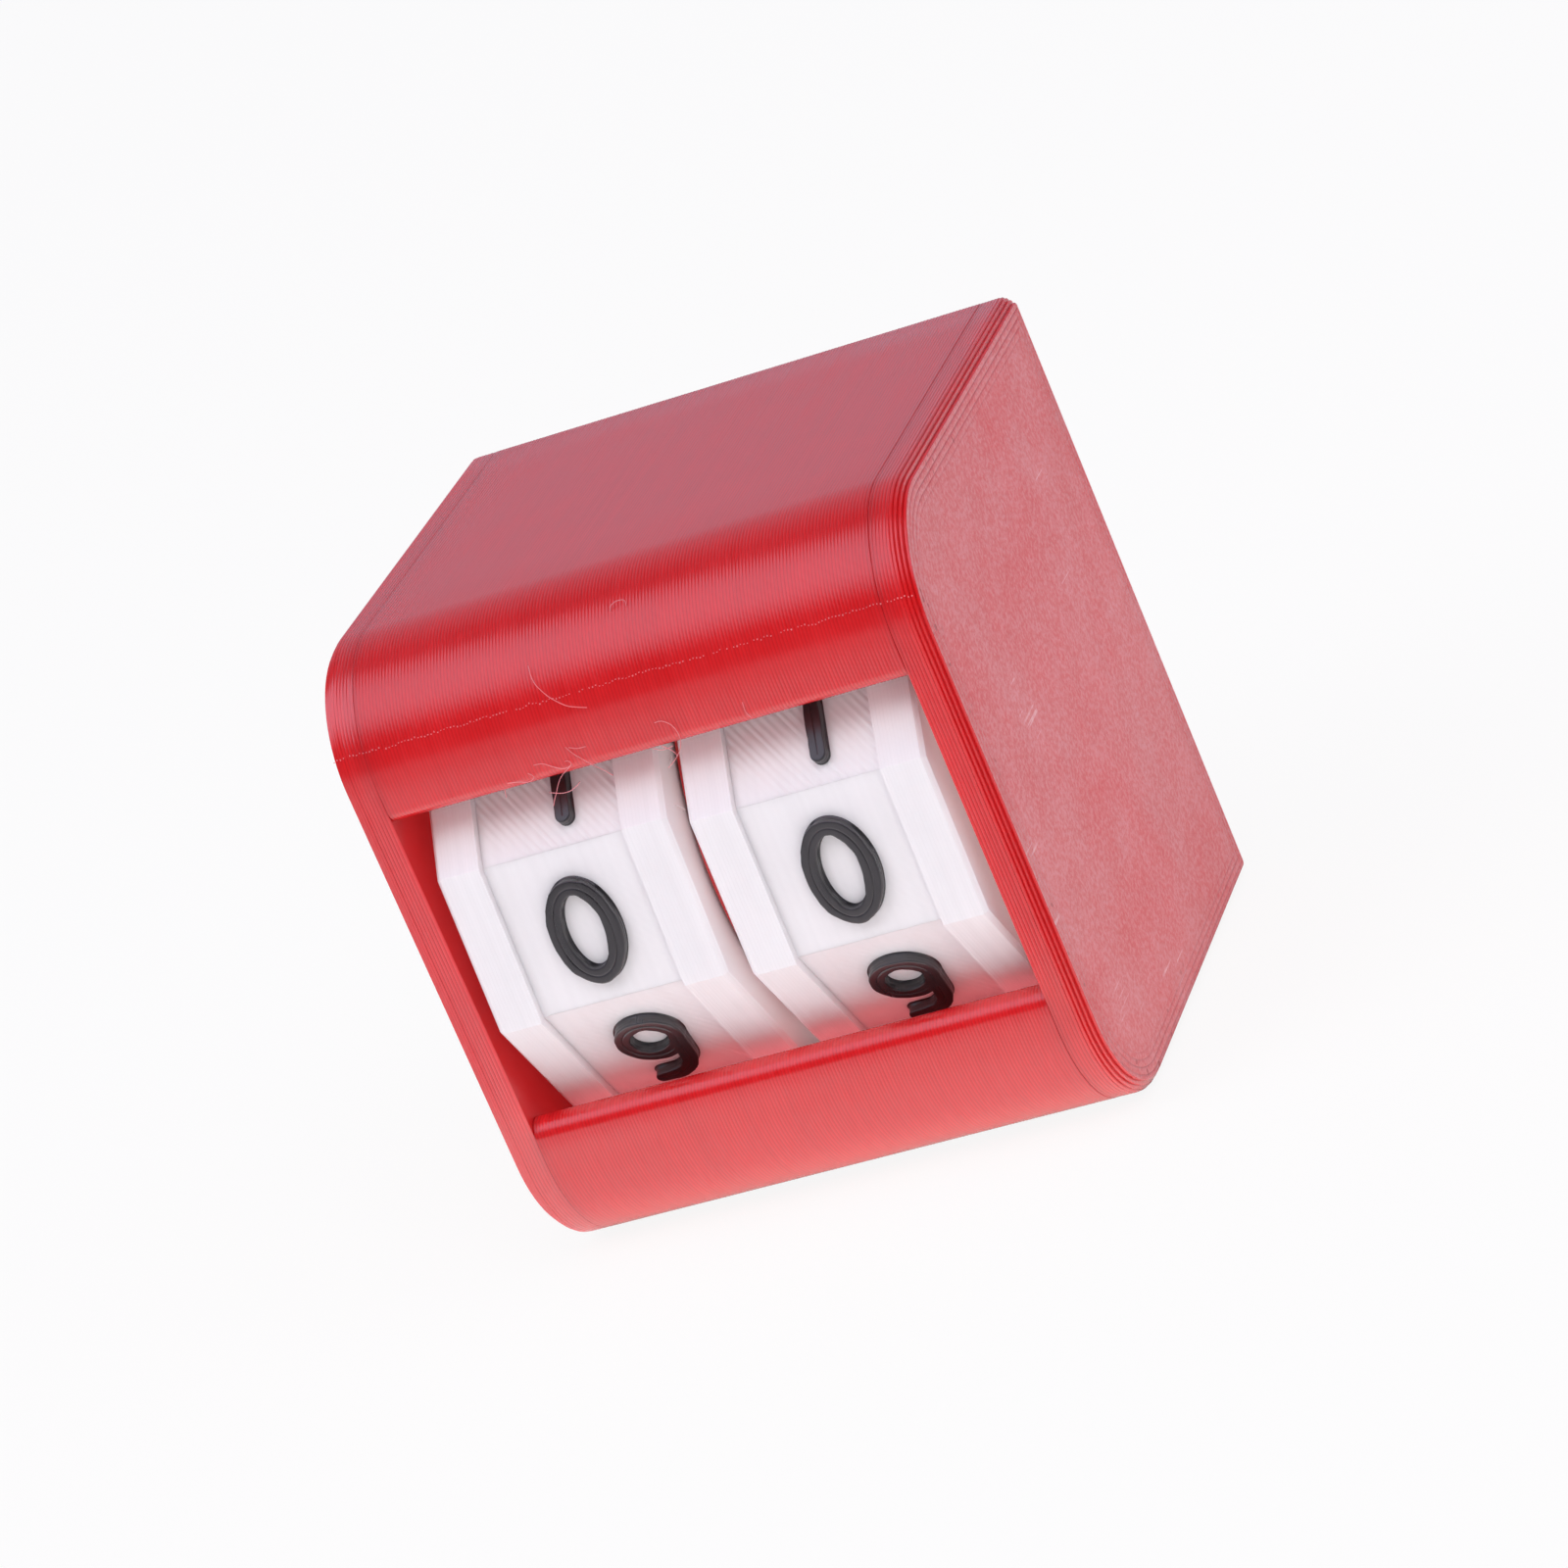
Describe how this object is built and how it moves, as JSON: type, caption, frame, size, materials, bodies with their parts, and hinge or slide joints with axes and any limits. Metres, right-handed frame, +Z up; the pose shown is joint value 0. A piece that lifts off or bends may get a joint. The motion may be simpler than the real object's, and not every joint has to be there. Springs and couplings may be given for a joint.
{
  "type": "flip score counter",
  "caption": "Small tabletop score counter: a rounded box whose front window shows number dials that turn on one axle, parted by a thin click disc.",
  "frame": {"origin": "centre of the box's flat bottom face, without the dials' overhang at the front", "axes": "+X to the right along the axle, -Y to the front where the window is, +Z up"},
  "size_m": [0.035, 0.0335, 0.0375],
  "materials": {
    "red_plastic": "layered print, satin sheen along the layers",
    "white_plastic": "layered print, fine diagonal fill lines on the tiles",
    "black_plastic": "layered print, dark grey top with contour lines"
  },
  "bodies": {
    "housing": {"shell": "red_plastic", "left_end_plate": "red_plastic", "right_end_plate": "red_plastic", "axle": "white_plastic", "click_disc": "red_plastic"},
    "left_dial": {"left_dial_core": "white_plastic", "left_tile_0": "white_plastic", "left_tile_1": "white_plastic", "left_tile_2": "white_plastic", "left_tile_3": "white_plastic", "left_tile_4": "white_plastic", "left_tile_5": "white_plastic", "left_tile_6": "white_plastic", "left_tile_7": "white_plastic", "left_tile_8": "white_plastic", "left_tile_9": "white_plastic", "left_digit_0": "black_plastic", "left_digit_1": "black_plastic", "left_digit_2": "black_plastic", "left_digit_3": "black_plastic", "left_digit_4": "black_plastic", "left_digit_5": "black_plastic", "left_digit_6": "black_plastic", "left_digit_7": "black_plastic", "left_digit_8": "black_plastic", "left_digit_9": "black_plastic"},
    "right_dial": {"right_dial_core": "white_plastic", "right_tile_0": "white_plastic", "right_tile_1": "white_plastic", "right_tile_2": "white_plastic", "right_tile_3": "white_plastic", "right_tile_4": "white_plastic", "right_tile_5": "white_plastic", "right_tile_6": "white_plastic", "right_tile_7": "white_plastic", "right_tile_8": "white_plastic", "right_tile_9": "white_plastic", "right_digit_0": "black_plastic", "right_digit_1": "black_plastic", "right_digit_2": "black_plastic", "right_digit_3": "black_plastic", "right_digit_4": "black_plastic", "right_digit_5": "black_plastic", "right_digit_6": "black_plastic", "right_digit_7": "black_plastic", "right_digit_8": "black_plastic", "right_digit_9": "black_plastic"}
  },
  "joints": [
    {"name": "left_dial_turn", "type": "hinge", "parent": "housing", "child": "left_dial", "pos_m": [0, -0.00225, 0.01899], "axis": [1, 0, 0], "continuous": true},
    {"name": "right_dial_turn", "type": "hinge", "parent": "housing", "child": "right_dial", "pos_m": [0, -0.00225, 0.01899], "axis": [1, 0, 0], "continuous": true}
  ]
}
